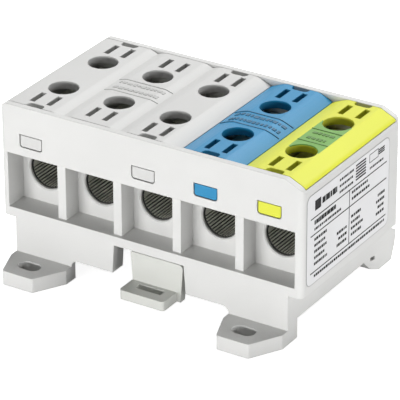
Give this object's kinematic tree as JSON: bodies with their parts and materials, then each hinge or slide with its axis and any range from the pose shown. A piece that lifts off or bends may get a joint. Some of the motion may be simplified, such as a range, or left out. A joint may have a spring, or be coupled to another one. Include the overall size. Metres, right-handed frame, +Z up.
{
  "type": "power distribution block",
  "caption": "Rail-mounted power distribution block with through terminals side by side in one insulating housing, under coloured covers that clip on.",
  "frame": {"origin": "on the mounting surface, under the middle of the block's outline", "axes": "+X along the row of poles towards the yellow cover, -Y towards the latch, +Z up, away from the mounting surface"},
  "size_m": [0.098, 0.0724, 0.05],
  "materials": {
    "housing_plastic": "satin",
    "cover_grey_plastic": "satin",
    "cover_blue_plastic": "satin",
    "cover_yellow_plastic": "satin",
    "latch_plastic": "satin",
    "terminal_metal": "tin plated, satin",
    "screw_steel": "zinc plated, dark",
    "spring_steel": "bright"
  },
  "bodies": {
    "block": {"housing": "housing_plastic", "cover_grey": "cover_grey_plastic", "cover_blue": "cover_blue_plastic", "cover_yellow": "cover_yellow_plastic", "terminal_1": "terminal_metal", "terminal_2": "terminal_metal", "terminal_3": "terminal_metal", "terminal_4": "terminal_metal", "terminal_5": "terminal_metal", "latch_spring": "spring_steel"},
    "latch": {"din_latch": "latch_plastic"},
    "screw_front_1": {"screw_front_1": "screw_steel"},
    "screw_front_2": {"screw_front_2": "screw_steel"},
    "screw_front_3": {"screw_front_3": "screw_steel"},
    "screw_front_4": {"screw_front_4": "screw_steel"},
    "screw_front_5": {"screw_front_5": "screw_steel"},
    "screw_rear_1": {"screw_rear_1": "screw_steel"},
    "screw_rear_2": {"screw_rear_2": "screw_steel"},
    "screw_rear_3": {"screw_rear_3": "screw_steel"},
    "screw_rear_4": {"screw_rear_4": "screw_steel"},
    "screw_rear_5": {"screw_rear_5": "screw_steel"}
  },
  "joints": [
    {"name": "latch_pull", "type": "slide", "parent": "block", "child": "latch", "axis": [0, -1, 0], "range_m": [0, 0.004], "stiffness_N_per_m": 1500, "springref_m": -0.001, "deforming": ["latch_spring"]},
    {"name": "screw_front_1_travel", "type": "slide", "parent": "block", "child": "screw_front_1", "axis": [0, 0, -1], "range_m": [0, 0.0065]},
    {"name": "screw_front_2_travel", "type": "slide", "parent": "block", "child": "screw_front_2", "axis": [0, 0, -1], "range_m": [0, 0.0065]},
    {"name": "screw_front_3_travel", "type": "slide", "parent": "block", "child": "screw_front_3", "axis": [0, 0, -1], "range_m": [0, 0.0065]},
    {"name": "screw_front_4_travel", "type": "slide", "parent": "block", "child": "screw_front_4", "axis": [0, 0, -1], "range_m": [0, 0.0065]},
    {"name": "screw_front_5_travel", "type": "slide", "parent": "block", "child": "screw_front_5", "axis": [0, 0, -1], "range_m": [0, 0.0065]},
    {"name": "screw_rear_1_travel", "type": "slide", "parent": "block", "child": "screw_rear_1", "axis": [0, 0, -1], "range_m": [0, 0.0065]},
    {"name": "screw_rear_2_travel", "type": "slide", "parent": "block", "child": "screw_rear_2", "axis": [0, 0, -1], "range_m": [0, 0.0065]},
    {"name": "screw_rear_3_travel", "type": "slide", "parent": "block", "child": "screw_rear_3", "axis": [0, 0, -1], "range_m": [0, 0.0065]},
    {"name": "screw_rear_4_travel", "type": "slide", "parent": "block", "child": "screw_rear_4", "axis": [0, 0, -1], "range_m": [0, 0.0065]},
    {"name": "screw_rear_5_travel", "type": "slide", "parent": "block", "child": "screw_rear_5", "axis": [0, 0, -1], "range_m": [0, 0.0065]}
  ]
}
